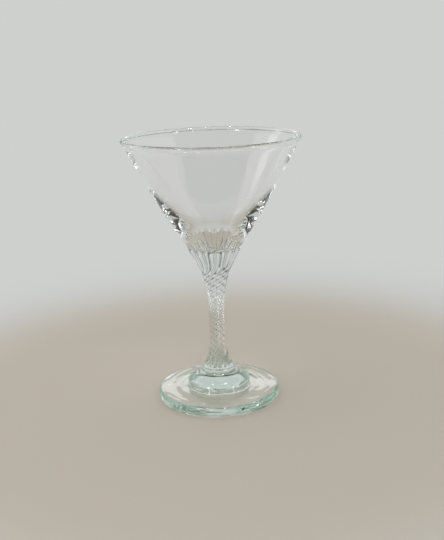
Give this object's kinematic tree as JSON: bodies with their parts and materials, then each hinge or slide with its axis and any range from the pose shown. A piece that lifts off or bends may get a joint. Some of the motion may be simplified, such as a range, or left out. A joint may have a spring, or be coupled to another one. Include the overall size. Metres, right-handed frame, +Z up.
{
  "type": "cocktail glass",
  "caption": "Clear cocktail glass: conical bowl with a beaded rim and thick base, slim fluted stem twisted like rope, heavy round foot with a domed boss.",
  "frame": {"origin": "centre of the plane that the foot stands on, on the axis of the glass", "axes": "+Z up along the axis of the glass, from the foot to the rim; X and Y are level and alike, because the glass is round"},
  "size_m": [0.112, 0.112, 0.171],
  "materials": {
    "clear_glass": "clear soda-lime glass, fire-polished, with a faint grey-green tint where it is thick"
  },
  "bodies": {
    "root": {"bowl": "clear_glass", "stem": "clear_glass", "foot": "clear_glass"}
  },
  "joints": []
}
